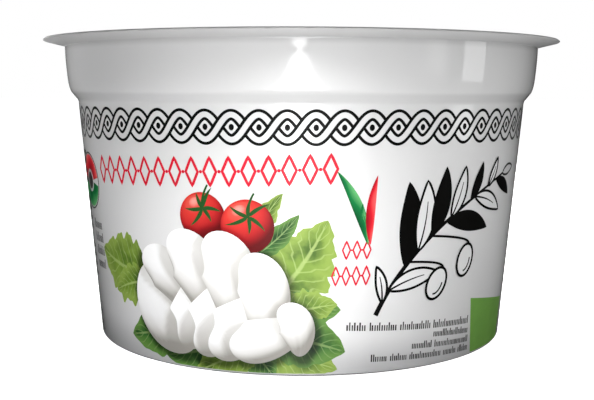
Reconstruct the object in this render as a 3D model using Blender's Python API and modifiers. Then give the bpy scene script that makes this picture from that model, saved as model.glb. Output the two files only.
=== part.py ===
"""A round tub for soft cheese in brine, shut: a moulded white cup and the film sealed to its flange.

The cup has a flat flange, an upright neck, a rounded shoulder, a tapering wall and a base that
stands on a foot ring. It is opaque and full, so it is one solid. Metres, +Z up, with the origin
under the middle of the base.
"""

import math

import bpy

MM = 0.001

# Flange: a flat rim with a rounded lip, thicker towards the neck
FLANGE_RADIUS = 59.0 * MM
FLANGE_TOP = 66.85 * MM
LIP_THICKNESS = 0.85 * MM
LIP_ROUND = 0.25 * MM
FLANGE_ROOT_THICKNESS = 1.1 * MM
ROOT_FILLET = 0.5 * MM

# Neck: the nearly upright band between the flange and the shoulder
NECK_TOP_RADIUS = 54.3 * MM
NECK_BOTTOM_RADIUS = 53.75 * MM
NECK_BOTTOM = 58.0 * MM

# Shoulder: the neck turns in to the narrower wall below it
SHOULDER_DEPTH = 1.75 * MM
SHOULDER_DROP = 3.7 * MM
SHOULDER_FILLET = 0.35 * MM

# Wall: a cone that would reach WALL_BASE_RADIUS at the table
WALL_TOP_RADIUS = 51.65 * MM
WALL_BASE_RADIUS = 47.0 * MM
BASE_CORNER = 1.2 * MM

# Base: a flat foot ring round a raised panel, with the mark of the mould's gate in its middle
FOOT_INNER_RADIUS = 42.6 * MM
PANEL_RADIUS = 41.2 * MM
PANEL_HEIGHT = 1.1 * MM
GATE_RADIUS = 1.9 * MM
GATE_DROP = 0.4 * MM

# Film: sealed to the flange and drawn down a little over the contents
FILM_RADIUS = 58.75 * MM
FILM_THICKNESS = 0.2 * MM
FILM_GAP = 0.2 * MM
DIP_RADIUS = 52.5 * MM
DIP_DEPTH = 0.7 * MM

STEPS_ROUND = 96
ARC_STEPS = 4
DIP_STEPS = 5
SMOOTH_UP_TO = math.radians(35)

WHITE_PLASTIC = (0.86, 0.87, 0.88, 1.0)
FILM_WHITE = (0.88, 0.885, 0.89, 1.0)


def clear_scene():
    for obj in list(bpy.data.objects):
        bpy.data.objects.remove(obj)


def new_collection(name):
    collection = bpy.data.collections.new(name)
    bpy.context.scene.collection.children.link(collection)
    return collection


def plastic(name, colour, roughness):
    material = bpy.data.materials.new(name)
    material.use_nodes = True
    shader = material.node_tree.nodes["Principled BSDF"]
    shader.inputs["Base Color"].default_value = colour
    shader.inputs["Roughness"].default_value = roughness
    shader.inputs["Metallic"].default_value = 0.0
    return material


def arc(centre, radii, start, end, steps=ARC_STEPS):
    """Points (radius, height) on part of an ellipse, from the start angle to the end, in degrees."""
    points = []
    for step in range(steps + 1):
        angle = math.radians(start + (end - start) * step / steps)
        points.append((centre[0] + radii[0] * math.cos(angle), centre[1] + radii[1] * math.sin(angle)))
    return points


def dip_at(radius):
    """How far the film and what it lies on sink below the flange at this radius."""
    share = min(radius / DIP_RADIUS, 1.0)
    return DIP_DEPTH * (1.0 - share * share) ** 2


def dipped_line(height, outer_radius):
    """A line from the axis out to outer_radius that sinks with the dip."""
    points = []
    for step in range(DIP_STEPS + 1):
        radius = DIP_RADIUS * step / DIP_STEPS
        points.append((radius, height - dip_at(radius)))
    points.append((outer_radius, height))
    return points


def wall_radius(height):
    share = height / (NECK_BOTTOM - SHOULDER_DROP)
    return WALL_BASE_RADIUS + (WALL_TOP_RADIUS - WALL_BASE_RADIUS) * share


def flange_profile():
    """Over the lip and back under it to the fillet at the neck."""
    lip_bottom = FLANGE_TOP - LIP_THICKNESS
    root_bottom = FLANGE_TOP - FLANGE_ROOT_THICKNESS
    rounding = FLANGE_RADIUS - LIP_ROUND
    points = arc((rounding, FLANGE_TOP - LIP_ROUND), (LIP_ROUND, LIP_ROUND), 90, 0, 3)
    points += arc((rounding, lip_bottom + LIP_ROUND), (LIP_ROUND, LIP_ROUND), 0, -90, 3)
    fillet_centre = (NECK_TOP_RADIUS + ROOT_FILLET, root_bottom - ROOT_FILLET)
    points += arc(fillet_centre, (ROOT_FILLET, ROOT_FILLET), 90, 180)
    return points


def shoulder_profile():
    """Down the neck, round the shoulder and into the fillet at the top of the wall."""
    centre = (NECK_BOTTOM_RADIUS - SHOULDER_DEPTH, NECK_BOTTOM)
    points = arc(centre, (SHOULDER_DEPTH, SHOULDER_DROP), 0, -90, 8)
    fillet_top = NECK_BOTTOM - SHOULDER_DROP
    fillet_foot = fillet_top - SHOULDER_FILLET
    points.append((wall_radius(fillet_foot) + 0.3 * SHOULDER_FILLET, fillet_top - 0.3 * SHOULDER_FILLET))
    points.append((wall_radius(fillet_foot), fillet_foot))
    return points


def base_profile():
    """Round the bottom corner, across the foot ring and up on to the panel, to the axis."""
    corner_centre = (wall_radius(BASE_CORNER) - BASE_CORNER, BASE_CORNER)
    points = arc(corner_centre, (BASE_CORNER, BASE_CORNER), 0, -90)
    points.append((FOOT_INNER_RADIUS, 0.0))
    points.append((PANEL_RADIUS, PANEL_HEIGHT))
    points.append((GATE_RADIUS, PANEL_HEIGHT))
    points.append((0.8 * GATE_RADIUS, PANEL_HEIGHT - GATE_DROP))
    points.append((0.0, PANEL_HEIGHT - GATE_DROP))
    return points


def cup_profile():
    top = dipped_line(FLANGE_TOP, FLANGE_RADIUS - LIP_ROUND)[:-1]
    return top + flange_profile() + shoulder_profile() + base_profile()


def film_profile():
    bottom = FLANGE_TOP + FILM_GAP
    over = dipped_line(bottom + FILM_THICKNESS, FILM_RADIUS)
    under = dipped_line(bottom, FILM_RADIUS)
    return over + under[::-1]


def turned(name, profile, material, collection):
    """A solid turned from a profile of (radius, height) points that runs down its outer side."""
    mesh = bpy.data.meshes.new(name)
    edges = [(i, i + 1) for i in range(len(profile) - 1)]
    mesh.from_pydata([(radius, 0.0, height) for radius, height in profile], edges, [])
    mesh.materials.append(material)
    obj = bpy.data.objects.new(name, mesh)
    collection.objects.link(obj)
    screw = obj.modifiers.new("Turn", "SCREW")
    screw.axis = "Z"
    screw.angle = math.tau
    screw.steps = STEPS_ROUND
    screw.render_steps = STEPS_ROUND
    screw.use_merge_vertices = True
    screw.merge_threshold = 0.000001
    screw.use_smooth_shade = True
    return obj


def main():
    clear_scene()
    tub_parts = new_collection("cheese_tub")
    turned("tub", cup_profile(), plastic("white_plastic", WHITE_PLASTIC, 0.28), tub_parts)
    turned("seal_film", film_profile(), plastic("film", FILM_WHITE, 0.34), tub_parts)


main()
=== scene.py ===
"""Looks for a shut, printed tub of soft cheese: a glossy cup, its film and the print round its wall."""

import math
import random

import bpy
from mathutils import Matrix, Vector


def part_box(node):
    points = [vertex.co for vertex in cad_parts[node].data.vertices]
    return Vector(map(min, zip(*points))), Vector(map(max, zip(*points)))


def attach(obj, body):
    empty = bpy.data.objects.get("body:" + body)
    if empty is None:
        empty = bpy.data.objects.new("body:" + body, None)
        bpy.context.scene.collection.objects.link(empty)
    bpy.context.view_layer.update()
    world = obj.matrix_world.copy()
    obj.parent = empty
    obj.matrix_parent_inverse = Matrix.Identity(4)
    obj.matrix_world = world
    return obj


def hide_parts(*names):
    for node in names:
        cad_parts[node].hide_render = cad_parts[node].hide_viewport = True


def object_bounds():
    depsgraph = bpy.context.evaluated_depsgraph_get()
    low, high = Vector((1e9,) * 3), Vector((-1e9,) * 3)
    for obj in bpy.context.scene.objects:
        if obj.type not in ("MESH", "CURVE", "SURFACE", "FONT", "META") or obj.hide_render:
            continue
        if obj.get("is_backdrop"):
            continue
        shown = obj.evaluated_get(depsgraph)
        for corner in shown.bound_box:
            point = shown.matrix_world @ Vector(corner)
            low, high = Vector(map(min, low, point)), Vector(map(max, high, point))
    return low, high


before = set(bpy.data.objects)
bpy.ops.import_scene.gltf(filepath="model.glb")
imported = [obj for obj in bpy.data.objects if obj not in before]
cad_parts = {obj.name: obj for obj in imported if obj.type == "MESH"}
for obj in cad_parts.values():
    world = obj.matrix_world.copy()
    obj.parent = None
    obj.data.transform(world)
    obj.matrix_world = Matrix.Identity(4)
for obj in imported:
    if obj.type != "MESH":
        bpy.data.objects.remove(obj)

cad_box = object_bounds()
MM = 0.001
MILLI = 0.001

# ------------------------------------------------------------
# Sizes, in metres. The cup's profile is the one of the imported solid, with finer roundings, a
# thinner lip, a neck that curves in and a step that slopes.
# ------------------------------------------------------------
FLANGE_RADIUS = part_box("tub")[1].x
FLANGE_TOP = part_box("tub")[1].z - 0.07 * MM
FILM_BOTTOM = FLANGE_TOP + 0.01 * MM
FILM_THICKNESS = 0.16 * MM
FILM_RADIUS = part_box("seal_film")[1].x
LIP_THICKNESS = 0.24 * MM
ROOT_THICKNESS = 1.35 * MM
ROOT_HEIGHT = FLANGE_TOP - ROOT_THICKNESS
ROOT_FILLET = 0.25 * MM
NECK_TOP_RADIUS = 54.3 * MM
NECK_BOTTOM_RADIUS = 53.8 * MM
NECK_BOTTOM = 58.0 * MM
NECK_POWER = 1.6
NECK_STEPS = 20
STEP_TOP = (53.05 * MM, 55.22 * MM)
STEP_FOOT = (51.8 * MM, 53.65 * MM)
WALL_TOP_RADIUS = 51.65 * MM
WALL_TOP = 54.3 * MM
WALL_BASE_RADIUS = 47.0 * MM
BASE_CORNER = 0.6 * MM
FOOT_INNER_RADIUS = 42.6 * MM
PANEL_RADIUS = 41.2 * MM
PANEL_HEIGHT = 1.1 * MM
PANEL_STEP_RADIUS = 31.0 * MM
PANEL_STEP_RUN = 0.5 * MM
PANEL_STEP_RISE = 0.35 * MM
GATE_RADIUS = 1.9 * MM
GATE_WELL_RADIUS = 2.2 * GATE_RADIUS
GATE_FLAT_RADIUS = 0.8 * GATE_RADIUS
GATE_DROP = 0.4 * MM
MARK_DISTANCE = 36.0 * MM
MARK_RADIUS = 2.4 * MM
MARK_THICKNESS = 0.3 * MM
MARK_BEVEL = 0.06 * MM
MARK_RIM = 0.35 * MM
MARK_HOLLOW = 0.08 * MM
DIP_RADIUS = 52.5 * MM
DIP_DEPTH = 0.7 * MM
INNER_EDGE_RUN = 1.2 * MM
INNER_EDGE_DROP = 0.4 * MM
SEAL_INNER = 54.7 * MM
SEAL_OUTER = 58.1 * MM
SEAL_EDGE = 0.5 * MM
SEAL_RELIEF = 0.09 * MM
SEAL_TEETH = 96
SEAL_RING_WIDTH = 0.25 * MM
CREASE_HEIGHT = 0.07 * MM
FILM_RINGS = 50
STEPS_ROUND = 384

# Camera: worked out from the tub's outline in the picture, 594 pixels wide. Angles in radians.
PICTURE_WIDTH = 594
FOCAL_PIXELS = 980.5
SENSOR_WIDTH = 36.0
CAMERA_PLACE = (-0.85 * MM, -233.95 * MM, 55.65 * MM)
CAMERA_PITCH = 0.111
CAMERA_ROLL = 0.004
CLIP_START, CLIP_END = 0.01, 20

# Light: the strength of the even light, and how far off the lights stand, in metres
AMBIENT = 0.02
MIDDLE_HEIGHT = 0.035
LIGHT_DISTANCE = 0.5
NEAR_DISTANCE = 0.09
FLOOR_SIZE = 12


# ------------------------------------------------------------
# Shader maths
# ------------------------------------------------------------
class Value:
    """A number, vector or colour coming out of a node. Arithmetic on it adds Math nodes."""

    def __init__(self, shade, socket):
        self.shade = shade
        self.socket = socket

    def math(self, operation, *others):
        return self.shade.node("ShaderNodeMath", {"operation": operation}, [self, *others])

    def __add__(self, other):
        return self.math("ADD", other)

    __radd__ = __add__

    def __sub__(self, other):
        return self.math("SUBTRACT", other)

    def __rsub__(self, other):
        return self.shade.node("ShaderNodeMath", {"operation": "SUBTRACT"}, [other, self])

    def __mul__(self, other):
        return self.math("MULTIPLY", other)

    __rmul__ = __mul__

    def __abs__(self):
        return self.math("ABSOLUTE")

    def rise(self, low, high):
        """0 below low, 1 above high and smooth between them."""
        sockets = {"Value": self, "From Min": low, "From Max": high}
        return self.shade.node("ShaderNodeMapRange", {"interpolation_type": "SMOOTHSTEP"}, sockets)


class Shade:
    """A material with one Principled shader, and the means to add nodes to it."""

    def __init__(self, name, **constants):
        self.material = bpy.data.materials.new(name)
        self.material.use_nodes = True
        self.tree = self.material.node_tree
        self.shader = self.tree.nodes["Principled BSDF"]
        for socket, value in constants.items():
            self.shader.inputs[socket.replace("_", " ")].default_value = value

    def node(self, kind, settings=None, sockets=(), output=0):
        """Adds a node: its settings first, then its sockets by name or in order. Returns one output."""
        made = self.tree.nodes.new(kind)
        for name, value in (settings or {}).items():
            if name == "stops":
                self.set_stops(made.color_ramp, value)
            else:
                setattr(made, name, value)
        pairs = sockets.items() if isinstance(sockets, dict) else enumerate(sockets)
        for key, value in pairs:
            self.feed(made.inputs[key], value)
        return Value(self, made.outputs[output])

    def set_stops(self, ramp, stops):
        while len(ramp.elements) < len(stops):
            ramp.elements.new(0.5)
        for element, (position, colour) in zip(ramp.elements, stops):
            element.position = position
            element.color = colour

    def feed(self, socket, value):
        if isinstance(value, Value):
            self.tree.links.new(value.socket, socket)
        else:
            socket.default_value = value

    def set(self, socket, value):
        self.feed(self.shader.inputs[socket], value)

    def place(self):
        return self.node("ShaderNodeTexCoord", output="Object")

    def radius(self, place):
        """How far a place is from the tub's axis."""
        flat = self.node("ShaderNodeVectorMath", {"operation": "MULTIPLY"}, [place, (1, 1, 0)])
        return self.node("ShaderNodeVectorMath", {"operation": "LENGTH"}, [flat], output=1)

    def drawn_light(self):
        """The light and shade that is drawn into a printed shape."""
        return self.node("ShaderNodeAttribute", {"attribute_name": "lit"}, output="Fac")

    def noise(self, scale, detail=2.0, roughness=0.5, vector=None):
        sockets = {"Scale": scale, "Detail": detail, "Roughness": roughness}
        return self.node("ShaderNodeTexNoise", None, {"Vector": vector or self.place(), **sockets})

    def mix(self, share, low, high):
        """A colour between low and high. Inputs 6 and 7 and output 2 are the node's colour sockets."""
        return self.node("ShaderNodeMix", {"data_type": "RGBA"}, {0: share, 6: low, 7: high}, output=2)

    def bump(self, height, strength, distance):
        sockets = {"Strength": strength, "Distance": distance, "Height": height}
        self.set("Normal", self.node("ShaderNodeBump", None, sockets))


def rgb(red, green, blue):
    """A colour given as it looks, in 0 to 255, turned into the shader's linear values."""
    linear = [((c / 255 + 0.055) / 1.055) ** 2.4 if c > 10 else c / 255 / 12.92 for c in (red, green, blue)]
    return (*linear, 1.0)


# ------------------------------------------------------------
# Modelling helpers. Points closer than WELD, in millimetres, become one.
# ------------------------------------------------------------
WELD = 0.002


def deselect():
    bpy.ops.object.select_all(action="DESELECT")


def pick(obj):
    """Selects one object alone and makes it the active one."""
    deselect()
    obj.select_set(True)
    bpy.context.view_layer.objects.active = obj


def arc(centre, radii, start, end, steps):
    """Points (radius, height) on part of an ellipse, from the start angle to the end, in degrees."""
    points = []
    for step in range(steps + 1):
        angle = math.radians(start + (end - start) * step / steps)
        points.append((centre[0] + radii[0] * math.cos(angle), centre[1] + radii[1] * math.sin(angle)))
    return points


def line(start, end, steps):
    """Points after start, up to and with end."""
    return [
        (start[0] + (end[0] - start[0]) * i / steps, start[1] + (end[1] - start[1]) * i / steps)
        for i in range(1, steps + 1)
    ]


def line_points(start, end, steps):
    return [start] + line(start, end, steps)


def turned(name, profile):
    """Extrudes one vertex along the profile and spins it round the axis."""
    deselect()
    bpy.ops.mesh.primitive_plane_add(size=MM, location=(profile[0][0], 0, profile[0][1]))
    obj = bpy.context.object
    obj.name = name
    bpy.ops.object.transform_apply(location=True)
    bpy.ops.object.mode_set(mode="EDIT")
    bpy.ops.mesh.select_mode(type="VERT")
    bpy.ops.mesh.select_all(action="SELECT")
    bpy.ops.mesh.merge(type="CENTER")
    for (radius, height), (next_radius, next_height) in zip(profile, profile[1:]):
        step = (next_radius - radius, 0, next_height - height)
        bpy.ops.mesh.extrude_region_move(TRANSFORM_OT_translate={"value": step})
    bpy.ops.mesh.select_all(action="SELECT")
    bpy.ops.mesh.spin(steps=STEPS_ROUND, angle=math.tau, center=(0, 0, 0), axis=(0, 0, 1))
    bpy.ops.mesh.select_all(action="SELECT")
    bpy.ops.mesh.remove_doubles(threshold=WELD * MM)
    bpy.ops.mesh.normals_make_consistent(inside=False)
    bpy.ops.object.mode_set(mode="OBJECT")
    return obj


def finish_piece(obj, material, replaces=(), smooth_angle=40):
    obj.data.materials.clear()
    obj.data.materials.append(material)
    pick(obj)
    bpy.ops.object.shade_smooth_by_angle(angle=math.radians(smooth_angle))
    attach(obj, "root")
    if replaces:
        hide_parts(*replaces)


# ------------------------------------------------------------
# Plastics. Each pair is the radius or height where a change of tone starts and where it is complete.
# ------------------------------------------------------------
PLASTIC_IOR = 1.49
FLANGE_STARTS = (50 * MM, 52 * MM)
PRESSED_STARTS = (ROOT_HEIGHT - 0.35 * MM, ROOT_HEIGHT - 0.1 * MM)
# Painted shade in the corner at the root of the neck, under the flange
ROOT_SHADE_STARTS = (ROOT_HEIGHT - 1.5 * MM, ROOT_HEIGHT)
ROOT_SHADE_ENDS = (54 * MM, 58.5 * MM)
# Painted shade on the step, which faces down
STEP_SHADE_STARTS = (STEP_FOOT[1] - 0.8 * MM, STEP_FOOT[1])
STEP_SHADE_ENDS = (STEP_TOP[1] - 0.6 * MM, STEP_TOP[1] + 0.25 * MM)
# Painted shade, darker towards the foot of the wall
FOOT_SHADE_ENDS = (0.0, 9.0 * MM)
OUTSIDE_STARTS = (46.2 * MM, 46.8 * MM)
CUT_EDGE_STARTS = (FILM_RADIUS - 0.22 * MM, FILM_RADIUS - 0.06 * MM)


def white_plastic():
    """Glossy, the flange satin from the sealing press, and painted shade on the step, foot and root."""
    shade = Shade("white_plastic", IOR=PLASTIC_IOR)
    place = shade.place()
    radius = shade.radius(place)
    height = shade.node("ShaderNodeSeparateXYZ", None, [place], output=2)
    flange = radius.rise(*FLANGE_STARTS)
    pressed = height.rise(*PRESSED_STARTS) * flange
    # Painted shade: darker in the corner where the neck meets the flange's underside
    deep = height.rise(*ROOT_SHADE_STARTS) * (1 - radius.rise(*ROOT_SHADE_ENDS)) * flange
    # Painted shade: greyer on the step
    step = height.rise(*STEP_SHADE_STARTS) * (1 - height.rise(*STEP_SHADE_ENDS))
    # Painted shade: darker towards the foot of the wall, on its outside only
    foot = (1 - height.rise(*FOOT_SHADE_ENDS)) * radius.rise(*OUTSIDE_STARTS)
    cloud = shade.noise(45.0, 3.0, 0.5, place)
    white = shade.mix(cloud, rgb(225, 225, 225), rgb(232, 232, 232))
    # The painted shade on the step
    white = shade.mix(step, white, rgb(217, 217, 217))
    # The painted shade at the foot
    white = shade.mix(foot, white, rgb(190, 190, 191))
    satin = shade.mix(pressed, white, rgb(212, 212, 212))
    # The painted shade at the root of the neck
    shade.set("Base Color", shade.mix(deep * 0.5, satin, rgb(180, 180, 180)))
    shade.set("Roughness", shade.noise(160.0, 3.0, 0.6, place) * 0.03 + pressed * 0.4 + 0.04)
    shade.bump(shade.noise(140.0, 1.0, 0.4, place), 0.06, 0.0004)
    return shade.material


def film_plastic():
    """A satin film, greyer at its cut edge."""
    shade = Shade("film", IOR=1.5)
    place = shade.place()
    cloud = shade.mix(shade.noise(60.0, 3.0, 0.5, place), rgb(228, 229, 231), rgb(236, 237, 238))
    at_edge = shade.radius(place).rise(*CUT_EDGE_STARTS)
    shade.set("Base Color", shade.mix(at_edge, cloud, rgb(205, 205, 206)))
    shade.set("Roughness", shade.noise(220.0, 3.0, 0.6, place) * 0.12 + 0.26)
    shade.bump(shade.noise(90.0, 3.0, 0.5, place), 0.15, 0.0005)
    return shade.material


# ------------------------------------------------------------
# Cup and film
# ------------------------------------------------------------
def wall_radius(height):
    share = height / WALL_TOP
    return WALL_BASE_RADIUS + (WALL_TOP_RADIUS - WALL_BASE_RADIUS) * share


def rounded_corner(start, corner, end, steps):
    """Points after start, up to and with end, on an arc that runs along both sides of the corner."""
    points = []
    for step in range(1, steps + 1):
        turn = math.pi / 2 * step / steps
        cosine, sine = math.cos(turn), math.sin(turn)
        sides = zip(start, corner, end)
        points.append(tuple(a + c - b + (b - c) * cosine + (b - a) * sine for a, b, c in sides))
    return points


def neck_and_shoulder(top):
    """Down the neck, which curves in towards its foot, round the shoulder and down the sloping step."""
    depth, drop = top[0] - NECK_BOTTOM_RADIUS, top[1] - NECK_BOTTOM
    points = []
    for i in range(1, NECK_STEPS + 1):
        points.append((top[0] - depth * (i / NECK_STEPS) ** NECK_POWER, top[1] - drop * i / NECK_STEPS))
    neck_slope = depth * NECK_POWER / drop
    wall_slope = (WALL_TOP_RADIUS - WALL_BASE_RADIUS) / WALL_TOP
    inwards, down = [upper - lower for upper, lower in zip(STEP_TOP, STEP_FOOT)]
    radius, height = STEP_TOP
    neck_radius = NECK_BOTTOM_RADIUS - neck_slope * (NECK_BOTTOM - height)
    reach = (neck_radius - radius) / (inwards - neck_slope * down)
    corner = (radius + inwards * reach, height + down * reach)
    points += rounded_corner(points[-1], corner, STEP_TOP, 16)
    points += line(STEP_TOP, STEP_FOOT, 4)
    radius, height = STEP_FOOT
    reach = (radius - wall_radius(height)) / (inwards - wall_slope * down)
    corner = (radius - inwards * reach, height - down * reach)
    wall_end = corner[1] - reach * math.hypot(inwards, down)
    points += rounded_corner(STEP_FOOT, corner, (wall_radius(wall_end), wall_end), 8)
    return points


def cup_profile():
    """Down the outside of the cup, from the middle of the top to the middle of the base."""
    lip = LIP_THICKNESS / 2
    points = [(0.0, FLANGE_TOP - 2 * DIP_DEPTH)]
    points += [(DIP_RADIUS, FLANGE_TOP - INNER_EDGE_DROP), (DIP_RADIUS + INNER_EDGE_RUN, FLANGE_TOP)]
    points += arc((FLANGE_RADIUS - lip, FLANGE_TOP - lip), (lip, lip), 90, -90, 8)
    corner = (NECK_TOP_RADIUS, ROOT_HEIGHT)
    slope = (ROOT_THICKNESS - LIP_THICKNESS) / (points[-1][0] - NECK_TOP_RADIUS)
    points += line(points[-1], (corner[0] + ROOT_FILLET, corner[1] + slope * ROOT_FILLET), 12)
    points += rounded_corner(points[-1], corner, (corner[0], corner[1] - ROOT_FILLET), 8)
    points += neck_and_shoulder(points[-1])
    points += line(points[-1], (wall_radius(BASE_CORNER), BASE_CORNER), 24)
    corner_centre = (wall_radius(BASE_CORNER) - BASE_CORNER, BASE_CORNER)
    points += arc(corner_centre, (BASE_CORNER, BASE_CORNER), 0, -90, 10)[1:]
    points += line(points[-1], (FOOT_INNER_RADIUS, 0.0), 3)
    points += line(points[-1], (PANEL_RADIUS, PANEL_HEIGHT), 4)
    points += line(points[-1], (PANEL_STEP_RADIUS, PANEL_HEIGHT), 8)
    points += line(points[-1], (PANEL_STEP_RADIUS - PANEL_STEP_RUN, PANEL_HEIGHT + PANEL_STEP_RISE), 3)
    points += line(points[-1], (GATE_WELL_RADIUS, PANEL_HEIGHT + PANEL_STEP_RISE), 10)
    points += line(points[-1], (GATE_RADIUS, PANEL_HEIGHT), 4)
    points += line(points[-1], (GATE_FLAT_RADIUS, PANEL_HEIGHT - GATE_DROP), 3)
    points.append((0.0, PANEL_HEIGHT - GATE_DROP))
    return points


def dip_at(radius):
    """How far the film is drawn down over the contents."""
    share = min(radius / DIP_RADIUS, 1.0)
    return DIP_DEPTH * (1.0 - share * share) ** 2


def film_profile():
    """Over the film from its middle, round its cut edge and back under it."""
    top = FILM_BOTTOM + FILM_THICKNESS
    edge = FILM_THICKNESS / 2
    radii = [DIP_RADIUS * i / FILM_RINGS for i in range(FILM_RINGS + 1)]
    radii += [DIP_RADIUS + SEAL_RING_WIDTH * i for i in range(1, 24)]
    over = [(radius, top - dip_at(radius)) for radius in radii] + [(FILM_RADIUS - edge, top)]
    points = over + arc((FILM_RADIUS - edge, top - edge), (edge, edge), 90, -90, 6)[1:]
    under = [(radius, height - FILM_THICKNESS) for radius, height in over[::-1][1:]]
    return points + under


def make_cup(plastic):
    cup = turned("cup", cup_profile())
    finish_piece(cup, plastic, ["tub"])


def make_mould_marks(plastic):
    """Four round ejector marks in the underside, one made and the others copied from it."""
    deselect()
    size = {"vertices": 40, "radius": MARK_RADIUS, "depth": MARK_THICKNESS}
    bpy.ops.mesh.primitive_cylinder_add(location=(MARK_DISTANCE, 0, PANEL_HEIGHT), **size)
    mark = bpy.context.object
    bpy.ops.object.transform_apply(location=True)
    bpy.ops.object.mode_set(mode="EDIT")
    bpy.ops.mesh.select_all(action="SELECT")
    bpy.ops.mesh.bevel(offset=MARK_BEVEL, segments=2, affect="EDGES")
    bpy.ops.mesh.select_all(action="DESELECT")
    bpy.ops.object.mode_set(mode="OBJECT")
    for polygon in mark.data.polygons:
        polygon.select = polygon.normal.z < -0.99
    bpy.ops.object.mode_set(mode="EDIT")
    bpy.ops.mesh.select_mode(type="FACE")
    bpy.ops.mesh.inset(thickness=MARK_RIM)
    bpy.ops.transform.translate(value=(0, 0, MARK_HOLLOW))
    bpy.ops.object.mode_set(mode="OBJECT")
    marks = [mark]
    for turn in range(1, 4):
        copy = mark.copy()
        copy.data = mark.data.copy()
        bpy.context.scene.collection.objects.link(copy)
        copy.data.transform(Matrix.Rotation(turn * math.pi / 2, 4, "Z"))
        marks.append(copy)
    finish_piece(joined("mould_marks", marks), plastic)


def make_film():
    """The film, with the seal's ring pressed into it in fine teeth, and faint creases within."""
    film = turned("film", film_profile())
    for vertex in film.data.vertices:
        radius = math.hypot(vertex.co.x, vertex.co.y)
        angle = math.atan2(vertex.co.y, vertex.co.x)
        if radius > DIP_RADIUS and vertex.co.z > FILM_BOTTOM + 0.6 * FILM_THICKNESS:
            pressed = min(max(min(radius - SEAL_INNER, SEAL_OUTER - radius) / SEAL_EDGE, 0.0), 1.0)
            vertex.co.z -= SEAL_RELIEF * pressed * (0.7 - 0.3 * math.cos(SEAL_TEETH * angle))
        elif radius < DIP_RADIUS:
            share = radius / DIP_RADIUS
            crease = math.sin(23 * angle) * 0.5 + math.sin(37 * angle + 1.3) * 0.3 + math.sin(9 * angle + 0.4)
            vertex.co.z += CREASE_HEIGHT * crease * (share ** 6) * (1 - share) * 6
    finish_piece(film, film_plastic(), ["seal_film"])


# ------------------------------------------------------------
# Print. Each shape is drawn flat, in millimetres: X runs along the wall from the front, as far as
# it is at REFERENCE_RADIUS, and Z is the height. It is then wrapped round the wall as a thin skin.
# ------------------------------------------------------------
REFERENCE_RADIUS = 49.3
WALL_LENGTH = math.tau * REFERENCE_RADIUS
INK_LIFT = 0.006
INK_STEP = 0.012
INK_THICKNESS = 0.010
INK_SHINE = 0.06
LIGHT_IN_PRINT = (-0.32, 0.62, 0.72)
FATTEST = 0.42
SHADE_SHIFT = (0.4, -0.6)
SHADE_REACH = 1.6
ROUNDEL = (-57.6, 36.0)


def patch(place, across, along, level=0, lit=None):
    """A grid of cells, whose point (u, v), each from -1 to 1, goes to place(u, v) on the drawing."""
    deselect()
    bpy.ops.mesh.primitive_grid_add(x_subdivisions=across, y_subdivisions=along, size=2)
    obj = bpy.context.object
    mesh = obj.data
    shades = []
    for vertex in mesh.vertices:
        u, v = vertex.co.x, vertex.co.y
        x, z = place(u, v)
        vertex.co = (x, -level * INK_STEP, z)
        if lit:
            shades.append(lit(u, v, x, z))
    if lit:
        mesh.attributes.new("lit", "FLOAT", "POINT").data.foreach_set("value", shades)
    return obj


def moved_aside(point, before, after, distance):
    """A point moved sideways off a run that goes from before to after, to the right of it."""
    run = math.dist(before, after)
    over_x, over_z = after[0] - before[0], after[1] - before[1]
    return point[0] + distance * over_z / run, point[1] - distance * over_x / run


def lightness(facing):
    """How much of the drawn light falls on a place that faces this way."""
    return max(0.0, sum(a * b for a, b in zip(facing, LIGHT_IN_PRINT)))


def ribbon(points, width, level=0, across=1, lit=None):
    """A stroke along points. Its width is a number, or a function of the share along and the side."""
    last = len(points) - 1
    closed = math.dist(points[0], points[last]) < 0.001

    def place(u, v):
        share = (v + 1) / 2
        index = round(share * last)
        before = points[index - 1] if index else points[last - 1] if closed else points[0]
        after = points[index + 1] if index < last else points[1] if closed else points[last]
        half = (width(share, u) if callable(width) else width) / 2
        return moved_aside(points[index], before, after, u * half)

    return patch(place, across, last, level, lit)


def disc(centre, radii, tilt=0.0, level=0, cells=10, lit=False):
    """A filled ellipse. Where it is lit, light and shade are drawn into it as on a ball."""
    cosine, sine = math.cos(math.radians(tilt)), math.sin(math.radians(tilt))

    def unit(u, v):
        return u * math.sqrt(1 - v * v / 2), v * math.sqrt(1 - u * u / 2)

    def place(u, v):
        x, z = unit(u, v)
        x, z = x * radii[0], z * radii[1]
        return centre[0] + x * cosine - z * sine, centre[1] + x * sine + z * cosine

    def bulge(u, v, x, z):
        right, up = unit(u, v)
        height = math.sqrt(max(0.0, 1 - right * right - up * up))
        facing = (right * cosine - up * sine, right * sine + up * cosine, height)
        return lightness(facing) * (1 - 0.6 * plait_shadow(x, z, level))

    return patch(place, cells, cells, level, bulge if lit else None)


def strokes(columns):
    """A row of upright strokes, each given as (left, right, bottom, top)."""
    last = 2 * len(columns) - 1

    def place(u, v):
        index = round((u + 1) / 2 * last)
        column = columns[index // 2]
        return column[index % 2], column[2] if v < 0 else column[3]

    obj = patch(place, last, 1)
    bpy.ops.object.mode_set(mode="EDIT")
    bpy.ops.mesh.select_mode(type="FACE")
    bpy.ops.object.mode_set(mode="OBJECT")
    for polygon in obj.data.polygons:
        polygon.select = polygon.index % 2 == 1
    bpy.ops.object.mode_set(mode="EDIT")
    bpy.ops.mesh.delete(type="FACE")
    bpy.ops.object.mode_set(mode="OBJECT")
    return obj


def curve(start, middle, end, steps, eased=False):
    """Points on a curve from start to end, drawn towards middle. Eased, they lie closer at both ends."""
    points = []
    for step in range(steps + 1):
        t = step / steps
        if eased:
            t = (1 - math.cos(math.pi * t)) / 2
        ends = zip(start, middle, end)
        points.append(tuple((1 - t) ** 2 * a + 2 * t * (1 - t) * b + t * t * c for a, b, c in ends))
    return points


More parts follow.
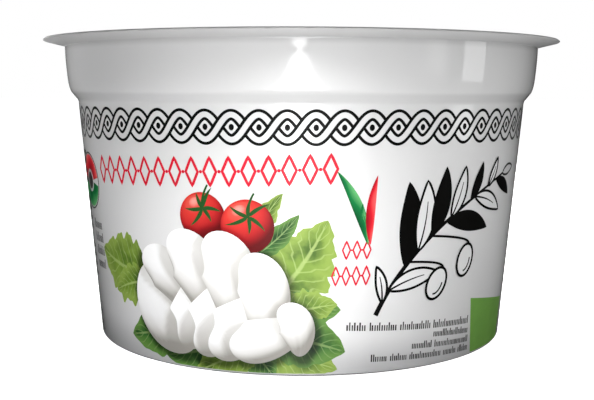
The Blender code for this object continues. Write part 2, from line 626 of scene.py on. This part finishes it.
def beside(points, share, aside):
    """The point at a share of a run of points, moved aside: upwards where the run goes to the right."""
    last = len(points) - 1
    at = min(max(share, 0.0), 1.0) * last
    index = min(int(at), last - 1)
    (x, z), (next_x, next_z) = points[index], points[index + 1]
    run = math.hypot(next_x - x, next_z - z)
    over = share * last - index
    along = ((next_x - x) / run, (next_z - z) / run)
    return x + (next_x - x) * over - aside * along[1], z + (next_z - z) * over + aside * along[0]


def blade(base, angle, length, bend, steps=16):
    """The middle line of a leaf that grows from base at an angle, in degrees, and bends sideways."""
    turn = math.radians(angle)
    along, side = (math.cos(turn), math.sin(turn)), (-math.sin(turn), math.cos(turn))
    end = tuple(base[i] + length * along[i] for i in (0, 1))
    middle = tuple(base[i] + 0.5 * length * along[i] + bend * length * side[i] for i in (0, 1))
    return curve(base, middle, end, steps)


def leaf_width(width, fullness, frill=0.0, waves=7, phase=0.0):
    """How wide a leaf is on its way to the tip. A frill makes its edges ragged."""
    def at(share, side):
        plain = 0.0
        if 0 < share < 1:
            plain = width * math.sin(math.pi * share ** fullness) ** 0.8
        ripple = math.sin(math.tau * waves * share + phase + 2.1 * (side > 0))
        ripple += 0.6 * math.sin(math.tau * waves * 1.9 * share + 2 * phase + 1.3 * (side > 0))
        return plain * (1 + frill * ripple)
    return at


def outlined(spine, width, stroke, level=0):
    """The outline of a leaf, as one closed stroke."""
    last = len(spine) - 1
    sides = []
    for sign in (1, -1):
        for index in range(last + 1):
            before, after = spine[max(index - 1, 0)], spine[min(index + 1, last)]
            half = sign * width(index / last, sign) / 2
            sides.append(moved_aside(spine[index], before, after, half))
    loop = sides[:last + 1] + sides[last + 1:][::-1][1:]
    return ribbon(loop, stroke, level)


def ring_points(centre, radii, start, end, steps, tilt=0.0):
    cosine, sine = math.cos(math.radians(tilt)), math.sin(math.radians(tilt))
    return [
        (centre[0] + x * cosine - z * sine, centre[1] + x * sine + z * cosine)
        for x, z in arc((0, 0), radii, start, end, steps)
    ]


def ring(centre, radii, stroke, tilt=0.0, start=0.0, end=360.0, level=0, steps=32):
    """The outline of an ellipse, or a part of it."""
    return ribbon(ring_points(centre, radii, start, end, steps, tilt), stroke, level)


def joined(name, shapes):
    deselect()
    for shape in shapes:
        shape.select_set(True)
    bpy.context.view_layer.objects.active = shapes[0]
    if len(shapes) > 1:
        bpy.ops.object.join()
    shapes[0].name = name
    return shapes[0]


def apply_modifier(obj, kind, **settings):
    pick(obj)
    modifier = obj.modifiers.new(kind, kind)
    for setting, value in settings.items():
        setattr(modifier, setting, value)
    bpy.ops.object.modifier_apply(modifier=modifier.name)


def weld(obj):
    """Joins the points that lie on each other, and takes out what they leave without a size."""
    pick(obj)
    bpy.ops.object.mode_set(mode="EDIT")
    bpy.ops.mesh.select_all(action="SELECT")
    bpy.ops.mesh.remove_doubles(threshold=WELD)
    bpy.ops.mesh.dissolve_degenerate(threshold=WELD)
    bpy.ops.object.mode_set(mode="OBJECT")


def printed(name, shapes, material, copies=2):
    """Joins flat shapes, repeats them evenly round the wall, wraps them on to it and thickens them."""
    piece = joined(name, shapes)
    offset = (WALL_LENGTH / copies, 0, 0)
    repeats = {"use_relative_offset": False, "use_constant_offset": True}
    apply_modifier(piece, "ARRAY", count=copies, constant_offset_displace=offset, **repeats)
    weld(piece)
    for polygon in piece.data.polygons:
        if polygon.normal.y > 0:
            polygon.flip()
    for vertex in piece.data.vertices:
        angle = vertex.co.x / REFERENCE_RADIUS
        height = max(vertex.co.z * MM, BASE_CORNER)
        radius = wall_radius(height) + (INK_LIFT - vertex.co.y) * MM
        vertex.co = (radius * math.sin(angle), -radius * math.cos(angle), height)
    apply_modifier(piece, "SOLIDIFY", thickness=INK_THICKNESS * MM, offset=1.0)
    finish_piece(piece, material, smooth_angle=30)


def ink_shade(name):
    """A printing ink, much less glossy than the plastic. Returns its shade, and the place on it."""
    shade = Shade(name, IOR=PLASTIC_IOR, Specular_IOR_Level=INK_SHINE)
    place = shade.place()
    shade.set("Roughness", shade.noise(300.0, 3.0, 0.6, place) * 0.1 + 0.3)
    return shade, place


def ink(name, colour, depth=0.06):
    """An ink of one colour, slightly uneven in its density."""
    shade, place = ink_shade(name)
    thin, full = [rgb(*[channel * (1 + sign * depth) for channel in colour]) for sign in (1, -1)]
    shade.set("Base Color", shade.mix(shade.noise(260.0, 4.0, 0.65, place), full, thin))
    return shade.material


def lit_ink(name, stops, mottle=0.05):
    """A printed shape that looks round: its colour follows the light and shade drawn into it."""
    shade, place = ink_shade(name)
    uneven = shade.drawn_light() + (shade.noise(190.0, 4.0, 0.6, place) - 0.5) * mottle
    colours = [(position, rgb(*colour)) for position, colour in stops]
    shade.set("Base Color", shade.node("ShaderNodeValToRGB", {"stops": colours}, {"Fac": uneven}))
    return shade.material


def leaf_ink(name, shadow, middle, light, vein):
    """A leaf: darker at its base and in its folds, with side veins that run out from the midrib."""
    shade, place = ink_shade(name)
    where = shade.node("ShaderNodeUVMap", {"uv_map": "UVMap"})
    across, along = [shade.node("ShaderNodeSeparateXYZ", None, [where], output=i) for i in (0, 1)]
    side = abs(across - 0.5) * 2
    folds = shade.noise(150.0, 4.0, 0.6, place)
    colour = shade.mix(folds.rise(0.34, 0.62), rgb(*shadow), rgb(*middle))
    colour = shade.mix((side * 0.5 + folds * 0.7 + along * 0.25).rise(0.5, 1.0), colour, rgb(*light))
    stripe = ((along * 9 - side * 2.2 + folds * 0.4) * math.tau).math("SINE")
    veins = stripe.rise(0.80, 0.98) * (1 - side).rise(0.0, 0.35)
    midrib = 1 - side.rise(0.03, 0.09)
    colour = shade.mix(veins * 0.55, colour, rgb(*vein))
    colour = shade.mix(midrib * 0.8, colour, rgb(*vein))
    deep = [0.25 * channel for channel in shadow]
    shade.set("Base Color", shade.mix((1 - shade.drawn_light()) * 0.8, colour, rgb(*deep)))
    return shade.material


def make_border(black):
    """A plait of two strands in outline, with a dot in each eye, right round the top of the wall."""
    repeats, middle, swing, strand, stroke = 30, 48.8, 2.36, 1.62, 0.57
    period = WALL_LENGTH / repeats
    steps = 72
    shapes = []

    def centre_line(x, sign):
        return middle + sign * swing * math.sin(math.tau * x / period)

    def gap_to(point, sign):
        spots = [period * (i / 60 - 0.25) for i in range(90)]
        return min(math.dist(point, (x, centre_line(x, sign))) for x in spots)

    for sign in (1, -1):
        for side in (1, -1):
            runs = [[]]
            for step in range(steps + 1):
                x = period * step / steps
                slope = sign * swing * math.tau / period * math.cos(math.tau * x / period)
                length = math.hypot(1, slope)
                half = side * strand / 2
                point = (x - half * slope / length, centre_line(x, sign) + half / length)
                near_start_or_end = min(x, period - x) < period / 4
                on_top = (sign > 0) == near_start_or_end
                if on_top or gap_to(point, -sign) > strand / 2 + 0.1:
                    runs[-1].append(point)
                else:
                    runs.append([])
            shapes += [ribbon(run, stroke) for run in runs if len(run) > 1]
    for share in (0.25, 0.75):
        shapes.append(disc((period * share, middle), (0.5, 0.62), cells=4))
    printed("plait_border", shapes, black, copies=repeats)


def lozenges(start, end, middle, width, height, stroke, gap, slope=0.0):
    """A chain of outlined lozenges with a dot between each two."""
    shapes = []
    count = int((end - start + gap) / (width + gap))
    pitch = (end - start + gap) / count
    for index in range(count):
        x = start + pitch * (index + 0.5) - gap / 2
        z = middle + slope * x
        corners = [(x, z - height / 2), (x + width / 2, z), (x, z + height / 2), (x - width / 2, z)]
        outline = corners[:1]
        for first, second in zip(corners, corners[1:] + corners[:1]):
            outline += line(first, second, 5)
        shapes.append(ribbon(outline, stroke))
        if index < count - 1:
            dot = (x + pitch / 2, z + slope * pitch / 2)
            shapes.append(disc(dot, (0.13 * width, 0.13 * width), cells=3))
    return shapes


def make_red_print(red):
    shapes = lozenges(-49.5, 6.8, 40.85, 2.6, 5.6, 0.56, 1.0, slope=0.036)
    shapes += lozenges(7.9, 13.7, 25.3, 1.5, 3.6, 0.34, 0.4)
    shapes += lozenges(5.9, 13.7, 20.2, 1.5, 3.8, 0.34, 0.4)
    printed("lozenge_rows", shapes, red)


def rounded(share):
    """How far a strand's point lies from its fattest place, from -1 at its start to 1 at its end."""
    eased = (1 - math.cos(math.pi * share)) / 2
    return (eased - FATTEST) / (FATTEST if eased < FATTEST else 1 - FATTEST)


def plait_strands():
    """A bent plait: the middle line of each strand that shows, its width and its level."""
    axis = curve((-31.5, 14.2), (-18.0, 20.0), (-4.4, 9.8), 40)
    strands = [(curve((-32.6, 21.0), (-35.6, 8.0), (-22.6, 5.2), 30, eased=True), 11.2, 7)]
    for order, size in enumerate((0.84, 0.96, 1.02, 1.06, 1.06, 1.0, 0.92, 0.80)):
        side = -1 if order % 2 else 1
        at = 0.06 + 0.112 * order
        start = beside(axis, at - 0.10, side * 8.4 * size)
        knee = beside(axis, at + 0.10, side * 9.2 * size)
        end = beside(axis, at + 0.27, -side * 5.6 * size)
        strands.append((curve(start, knee, end, 30, eased=True), 11.2 * size, 8 + order))
    strands.append((curve((-4.8, 12.6), (0.6, 12.4), (-0.4, 4.2), 24, eased=True), 7.4, 16))
    return strands


def plait_shadow(x, z, level):
    """How deep a point of the drawing lies in the soft shade beside the strands above its level."""
    deepest = 0.0
    for spine, width, strand_level in STRANDS:
        if strand_level > level:
            for index in range(2, len(spine), 3):
                half = width / 2 * math.sqrt(max(0.0, 1 - rounded(index / (len(spine) - 1)) ** 2))
                gap = math.dist((x - SHADE_SHIFT[0], z - SHADE_SHIFT[1]), spine[index]) - half
                deepest = max(deepest, min(1 - gap / SHADE_REACH, 1.0))
    return deepest * deepest * (3 - 2 * deepest)


STRANDS = plait_strands()


def strand_shape(spine, width, level):
    """One strand, rounded across and at its ends, with faint lines where the curd was drawn out."""
    last = len(spine) - 1

    def outline(share, side):
        return width * math.sqrt(max(0.0, 1 - rounded(share) ** 2))

    def lit(u, v, x, z):
        share = (v + 1) / 2
        index = min(max(round(share * last), 1), last - 1)
        (back_x, back_z), (fore_x, fore_z) = spine[index - 1], spine[index + 1]
        run = math.hypot(fore_x - back_x, fore_z - back_z)
        along = ((fore_x - back_x) / run, (fore_z - back_z) / run)
        ahead = 0.94 * rounded(share)
        aside = 0.94 * u * math.sqrt(max(0.0, 1 - ahead * ahead))
        height = math.sqrt(1 - ahead * ahead - aside * aside)
        facing = (along[0] * ahead + along[1] * aside, along[1] * ahead - along[0] * aside, height)
        drawn_out = 0.018 * math.sin(7 * u + level) + 0.012 * math.sin(15 * u + 2 * level + 3 * share)
        return (lightness(facing) + drawn_out) * (1 - 0.62 * plait_shadow(x, z, level))

    return ribbon(spine, outline, level, 20, lit)


def make_plait():
    shapes = [strand_shape(*strand) for strand in STRANDS]
    stops = [(0.0, (150, 147, 141)), (0.18, (196, 194, 190)), (0.38, (226, 225, 223))]
    stops += [(0.62, (243, 243, 243)), (0.88, (252, 252, 252))]
    printed("cheese_plait", shapes, lit_ink("cheese_ink", stops, 0.03))


def make_tomatoes(green):
    spots = [((-19.6, 31.3), 4.9, 112), ((-10.4, 29.8), 5.3, 80)]
    shapes = []
    for level, (place, size, tilt) in enumerate(spots, 3):
        shapes.append(disc(place, (size, size), level=level, cells=18, lit=True))
    stops = [(0.0, (96, 8, 12)), (0.25, (146, 18, 24)), (0.55, (190, 38, 38)), (0.85, (212, 56, 48))]
    stops += [(0.96, (220, 84, 72)), (1.0, (238, 156, 144))]
    printed("tomatoes", shapes, lit_ink("tomato_ink", stops, 0.03))
    sepals = []
    for (x, z), size, tilt in spots:
        heart = (x + 0.05 * size, z + 0.36 * size)
        for index in range(6):
            length = (0.66 + 0.14 * (index % 3)) * size
            spine = blade(heart, tilt + 60 * index + 11 * (index % 2), length, 0.14, 8)
            sepals.append(ribbon(spine, leaf_width(0.8, 0.6), 5, 2))
        stalk = curve(heart, (heart[0] - 0.3, heart[1] + 2.0), (heart[0] + 1.2, heart[1] + 4.6), 8)
        sepals.append(ribbon(stalk, lambda share, side: 0.62 - 0.25 * share, 5))
    printed("sepals", sepals, green)


def make_leaves():
    """Leaves round the plait: light frilled ones, and darker ones nearer to it.

    Each is given as its base, angle, length, width, bend and level.
    """
    def lit(u, v, x, z):
        return 1.0 - plait_shadow(x, z, 4)

    light = [
        ((-34, 18), 168, 18.5, 14.5, 0.08, 0), ((-34, 17), 196, 13, 8.0, -0.08, 1),
        ((-7, 14), 55, 21, 14.0, -0.10, 0), ((-4, 12), 13, 11.5, 8.0, 0.08, 1),
        ((-9, 5.5), -14, 17, 9.0, 0.05, 1), ((-9, 5.5), 204, 15, 8.5, -0.04, 3),
        ((-10, 24), 62, 14, 5.0, 0.12, 0),
    ]
    dark = [
        ((-23, 10.0), 196, 19, 11.0, 0.05, 2), ((-15, 6.5), 196, 16, 9.0, 0.06, 2),
        ((-7, 8.6), -13, 16.5, 11.0, 0.06, 2), ((-6, 12.0), 6, 14, 8.5, 0.08, 0),
        ((-12, 7), -48, 10, 7.5, 0.05, 2), ((-9, 24), 44, 12, 4.2, -0.08, 1),
    ]
    shapes = []
    for index, (base, angle, length, width, bend, level) in enumerate(light):
        outline = leaf_width(width, 0.72, 0.095, 5 + index % 3, 1.7 * index)
        shapes.append(ribbon(blade(base, angle, length, bend, 48), outline, level, 14, lit))
    colours = ((74, 104, 38), (116, 148, 56), (144, 170, 78), (168, 190, 112))
    printed("salad_leaves", shapes, leaf_ink("salad_ink", *colours))
    shapes = []
    for index, (base, angle, length, width, bend, level) in enumerate(dark):
        outline = leaf_width(width, 0.8, 0.05, 4, 2.3 * index)
        shapes.append(ribbon(blade(base, angle, length, bend, 30), outline, level, 10, lit))
    colours = ((28, 62, 28), (58, 106, 50), (98, 140, 66), (136, 166, 100))
    printed("herb_leaves", shapes, leaf_ink("herb_ink", *colours))


def make_sprig(black):
    """A branch with leaves and two fruits, in solid black and in black line with white inside.

    Each leaf is given as its point on the stem, its side, its length and its style.
    """
    stem = curve((15.2, 12.0), (24.0, 31.0), (50.0, 38.5), 30)
    shapes = [ribbon(stem, lambda share, side: 1.05 - 0.6 * share)]
    fills = []
    leaves = [
        (2, 1, 7.5, "line"), (4, -1, 12.0, "line"), (8, 1, 17.0, "solid"), (11, 1, 14.0, "line"),
        (14, 1, 14.0, "solid"), (17, -1, 14.0, "solid"), (18, 1, 10.5, "line"), (23, -1, 11.0, "line"),
        (22, 1, 8.5, "solid"), (28, -1, 9.0, "solid"), (26, 1, 6.5, "line"),
    ]
    for order, (index, side, length, style) in enumerate(leaves):
        base, ahead, level = stem[index], stem[index + 2], 1 + order
        heading = math.degrees(math.atan2(ahead[1] - base[1], ahead[0] - base[0]))
        spine = blade(base, heading + side * 42, length, -side * 0.12, 24)
        width = leaf_width(0.31 * length, 0.9)
        if style == "solid":
            shapes.append(ribbon(spine, width, level, 6))
        else:
            fills.append(ribbon(spine, width, level - 0.5, 6))
            shapes.append(outlined(spine, width, 0.5, level))
            shapes.append(ribbon(spine[:18], lambda share, side: 0.42 - 0.24 * share, level))
    shapes.append(outlined(blade(stem[-1], 10, 6.5, 0.05, 14), leaf_width(2.1, 0.9), 0.46))
    for centre, tilt, joint in (((29.2, 17.4), 62, 9), ((37.2, 21.4), 74, 14)):
        turn = math.radians(tilt)
        top = (centre[0] + 3.3 * math.cos(turn), centre[1] + 3.3 * math.sin(turn))
        shapes.append(ribbon(curve(top, (top[0] + 0.4, top[1] + 1.6), stem[joint], 10), 0.46, 13))
        fills.append(disc(centre, (3.4, 2.4), tilt, 13.5))
        shapes.append(ring(centre, (3.4, 2.4), 0.56, tilt, level=14))
        shapes.append(ring(centre, (2.3, 1.4), 0.34, tilt, 190, 290, 14, 10))
    printed("sprig", shapes, black)
    printed("sprig_insides", fills, ink("white_ink", (228, 228, 228), 0.015))


def small_print(start, end, start_z, end_z, size, draw):
    """A line that looks like very small print from afar: upright strokes in groups, and no letters."""
    columns = []
    x = end
    slope = (end_z - start_z) / (end - start)
    while x > start:
        for _ in range(draw.randint(8, 26)):
            bottom = end_z + slope * (x - end)
            top = bottom + size * draw.choice((0.68, 0.68, 0.68, 1.0))
            columns.append((x - draw.uniform(0.15, 0.2) * size, x, bottom, top))
            x -= size * draw.uniform(0.27, 0.34)
            if x <= start:
                break
        x -= 0.42 * size
    return strokes(columns[::-1])


def make_small_print(grey):
    """The lines of strokes, a box round the lowest of them, and the middle and rim of the roundel."""
    draw = random.Random(11)
    lines = [(9.4, 40.7, 9.2, 7.4, 1.7), (29.6, 40.9, 6.2, 5.3, 1.5)]
    lines += [(24.4, 41.2, 4.3, 3.3, 1.5), (14.8, 41.4, 2.5, 1.45, 1.5)]
    lines += [(-57.5, -52.3, 25.6 - 2.9 * row, 25.6 - 2.9 * row, 2.1) for row in range(4)]
    for row in range(15):
        height = 41.6 - 2.1 * row
        lines.append((62.0, 94.5 if row % 5 < 4 else 80.0, height, height, 1.35))
    lines += [(66.6, 78.0, 5.4, 5.4, 1.3), (66.6, 76.0, 3.0, 3.0, 1.3)]
    lines += [(84.0, 94.0, 5.4, 5.4, 1.3), (86.0, 94.0, 3.0, 3.0, 1.3)]
    shapes = [small_print(*place, draw) for place in lines]
    corners = [(65.0, 1.9), (95.5, 1.9), (95.5, 8.2), (65.0, 8.2)]
    for first, second in zip(corners, corners[1:] + corners[:1]):
        shapes.append(ribbon(line_points(first, second, 30), 0.22))
    shapes.append(disc(ROUNDEL, (1.9, 1.9), cells=8))
    shapes.append(ring(ROUNDEL, (6.1, 6.1), 0.34, steps=48))
    printed("small_print", shapes, grey)


def make_emblem():
    """Slim blades, green and red, above the small lozenges, and a roundel at the other side."""
    def lit(u, v, x, z):
        return 0.5 + 0.42 * u + 0.2 * math.sin(5 * v)

    greens = [ribbon(blade((13.0, 26.2), 114, 15.8, -0.12, 24), leaf_width(2.2, 0.9), 0, 4, lit)]
    greens.append(ribbon(blade((12.9, 27.5), 100, 7.0, 0.12), leaf_width(1.3, 0.9), 0, 3, lit))
    greens.append(ribbon(ring_points(ROUNDEL, (4.1, 4.1), 188, 352, 24), 3.2, 0, 4, lit))
    reds = [ribbon(blade((13.5, 26.2), 86, 13.6, 0.1, 24), leaf_width(1.8, 0.9), 1, 4, lit)]
    reds.append(ribbon(ring_points(ROUNDEL, (4.1, 4.1), 8, 172, 24), 3.2, 0, 4, lit))
    green_stops = [(0.0, (8, 84, 44)), (0.5, (18, 122, 62)), (1.0, (96, 178, 110))]
    red_stops = [(0.0, (150, 16, 30)), (0.5, (214, 28, 44)), (1.0, (240, 96, 96))]
    printed("green_blades", greens, lit_ink("blade_green", green_stops))
    printed("red_blades", reds, lit_ink("blade_red", red_stops))


def make_green_panel(green):
    """A plain field of green low on the wall."""
    def place(u, v):
        share, up = (u + 1) / 2, (v + 1) / 2
        return 42.9 + 17.6 * share - 1.9 * up * (1 - share), 0.4 + (12.3 - 2.9 * share) * up

    printed("green_panel", [patch(place, 17, 10)], green)


def make_print():
    black = ink("black_ink", (10, 10, 9))
    make_border(black)
    make_red_print(ink("red_ink", (216, 32, 54)))
    make_leaves()
    make_tomatoes(ink("sepal_ink", (38, 84, 36)))
    make_plait()
    make_sprig(black)
    make_emblem()
    make_small_print(ink("grey_ink", (50, 48, 47)))
    make_green_panel(ink("panel_green", (118, 168, 80)))


# ------------------------------------------------------------
# Camera, light and floor. Azimuths and elevations are in degrees, as seen from the tub's middle.
# ------------------------------------------------------------
# Far fills as azimuth, elevation and watts; near ones as azimuth, height in mm and milliwatts
FAR_FILL_SIZE = (0.16, 0.16)
FAR_FILLS = [
    (0, 16, 0.21), (25, 35, 0.18), (0, 60, 0.124),
    (168, 30, 1.0), (192, 30, 1.0), (180, 5, 0.5), (180, 75, 1.1),
]
NEAR_FILL_SIZE = (0.05, 0.012)
NEAR_FILLS = [
    (0, 30, 8.5), (0, 15, 9.6), (0, 45, 4.8), (-22, 15, 10.2), (22, 15, 3.7), (-22, 58, 2.0),
    (50, 58, 1.8), (50, 45, 4.7), (50, 15, 2.6), (-50, 15, 5.6), (80, 15, 5.2), (-80, 58, 11.7),
]
# Cards as azimuth, elevation, width and height in degrees, and brightness
HEAD_CARDS = [(-1.1, 2.8, 3.4, 4.2, 10), (-1.1, 2.8, 6.0, 2.8, 9), (-1.1, 2.8, 7.8, 1.5, 4)]
HEAD_CARDS.append((-1.0, -0.1, 1.9, 2.0, 11))
SIDE_CARDS = [(82, -1.2, 13.5, 12.4, 2.7), (60.5, -0.2, 9.0, 9.6, 1.55)]
# The bright shape below the head, as elevations and half widths from its top down
KEYHOLE = [(-1.1, 1.7), (-3.25, 3.9), (-6.5, 5.3), (-8.4, 6.3), (-18.8, 9.2), (-37.0, 10.2)]
KEYHOLE_AZIMUTH = -0.8
KEYHOLE_STEP = 0.6
KEYHOLE_FRINGE = 2.6
# The weak glow round it, as widths and the elevations where they start, all down to one elevation
GLOW = [(18, -1.0), (30, -3.4), (46, -5.2), (64, -7.2)]
GLOW_AZIMUTH = -0.9
GLOW_BOTTOM = -36


def make_camera():
    data = bpy.data.cameras.new("camera")
    data.sensor_width = SENSOR_WIDTH
    data.lens = FOCAL_PIXELS * SENSOR_WIDTH / PICTURE_WIDTH
    data.clip_start = CLIP_START
    data.clip_end = CLIP_END
    camera = bpy.data.objects.new("camera", data)
    bpy.context.scene.collection.objects.link(camera)
    turn = Matrix.Rotation(math.pi / 2 - CAMERA_PITCH, 4, "X") @ Matrix.Rotation(CAMERA_ROLL, 4, "Z")
    camera.matrix_world = Matrix.Translation(CAMERA_PLACE) @ turn
    bpy.context.scene.camera = camera
    bpy.context.scene.view_settings.view_transform = "Standard"


def soft_light(name, place, target, size, power, shows):
    """A rectangular light that faces its target. It shows only in matt light or only in the gloss."""
    data = bpy.data.lights.new(name, "AREA")
    data.shape = "RECTANGLE"
    data.size, data.size_y = size
    data.energy = power
    light = bpy.data.objects.new(name, data)
    bpy.context.scene.collection.objects.link(light)
    aim = Vector(target) - Vector(place)
    light.matrix_world = Matrix.Translation(place) @ aim.to_track_quat("-Z", "Y").to_matrix().to_4x4()
    light.visible_camera = False
    light.visible_glossy = shows == "gloss"
    light.visible_diffuse = shows == "matt"


def round_about(azimuth, elevation):
    """A place seen from the tub's middle at an azimuth from the front, positive towards +X."""
    turn, lift = math.radians(azimuth), math.radians(elevation)
    flat = LIGHT_DISTANCE * math.cos(lift)
    height = MIDDLE_HEIGHT + LIGHT_DISTANCE * math.sin(lift)
    return (flat * math.sin(turn), -flat * math.cos(turn), height)


def reflected_card(azimuth, elevation, wide, high, brightness):
    """A card that only shows in the gloss of the tub, its place and size given in degrees."""
    size = [2 * LIGHT_DISTANCE * math.tan(math.radians(angle / 2)) for angle in (wide, high)]
    power = brightness * math.pi * size[0] * size[1]
    soft_light("card", round_about(azimuth, elevation), (0, 0, MIDDLE_HEIGHT), size, power, "gloss")


def make_fills():
    """Matt light from far off, and from lights close to the wall that even it out."""
    for azimuth, elevation, power in FAR_FILLS:
        place = round_about(azimuth, elevation)
        soft_light("far_fill", place, (0, 0, MIDDLE_HEIGHT), FAR_FILL_SIZE, power, "matt")
    for azimuth, height, power in NEAR_FILLS:
        turn = math.radians(azimuth)
        place = (NEAR_DISTANCE * math.sin(turn), -NEAR_DISTANCE * math.cos(turn), height * MM)
        target = (0, 0, max(height, 30) * MM)
        soft_light("near_fill", place, target, NEAR_FILL_SIZE, power * MILLI, "matt")


def make_cards():
    """The reflections: a keyhole of light on the neck and shoulder, a glow round it, and the sides'."""
    for card in HEAD_CARDS:
        reflected_card(*card)
    top, half = KEYHOLE[0]
    for bottom, wider in KEYHOLE[1:]:
        steps = max(1, round((wider - half) / KEYHOLE_STEP))
        high = (top - bottom) / steps
        for step in range(steps):
            wide = 2 * (half + (wider - half) * (step + 0.5) / steps)
            elevation = top - high * (step + 0.5)
            reflected_card(KEYHOLE_AZIMUTH, elevation, wide, high, 9)
            reflected_card(KEYHOLE_AZIMUTH, elevation, wide + KEYHOLE_FRINGE, high, 2.5)
        top, half = bottom, wider
    for wide, top in GLOW:
        reflected_card(GLOW_AZIMUTH, (top + GLOW_BOTTOM) / 2, wide, top - GLOW_BOTTOM, 1.2)
    for card in SIDE_CARDS:
        reflected_card(*card)


def make_world():
    """White where the camera looks past the floor, and a weak even light on everything else."""
    world = bpy.data.worlds.new("studio")
    world.use_nodes = True
    nodes, links = world.node_tree.nodes, world.node_tree.links
    dim = nodes["Background"]
    dim.inputs["Color"].default_value = (1, 1, 1, 1)
    dim.inputs["Strength"].default_value = AMBIENT
    white = nodes.new("ShaderNodeBackground")
    white.inputs["Color"].default_value = (1, 1, 1, 1)
    mixer = nodes.new("ShaderNodeMixShader")
    links.new(nodes.new("ShaderNodeLightPath").outputs["Is Camera Ray"], mixer.inputs["Fac"])
    links.new(dim.outputs[0], mixer.inputs[1])
    links.new(white.outputs[0], mixer.inputs[2])
    links.new(mixer.outputs[0], nodes["World Output"].inputs["Surface"])
    bpy.context.scene.world = world


def make_floor():
    """A plain white floor, which takes the tub's shadow but sends no light up to it."""
    deselect()
    bpy.ops.mesh.primitive_plane_add(size=FLOOR_SIZE, location=(0, 0, 0))
    floor = bpy.context.object
    floor.name = "floor"
    shade = Shade("floor", Roughness=0.9, Emission_Strength=1.4)
    white = shade.mix(shade.noise(3.0), rgb(226, 226, 226), rgb(230, 230, 230))
    shade.set("Base Color", white)
    shade.set("Emission Color", white)
    floor.data.materials.append(shade.material)
    floor.visible_diffuse = False
    floor.visible_glossy = False
    floor.visible_shadow = False
    floor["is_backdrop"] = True


tub_plastic = white_plastic()
make_cup(tub_plastic)
make_mould_marks(tub_plastic)
make_film()
make_print()
make_camera()
make_fills()
make_cards()
make_world()
make_floor()

[[list(corner) for corner in box] for box in (cad_box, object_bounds())]
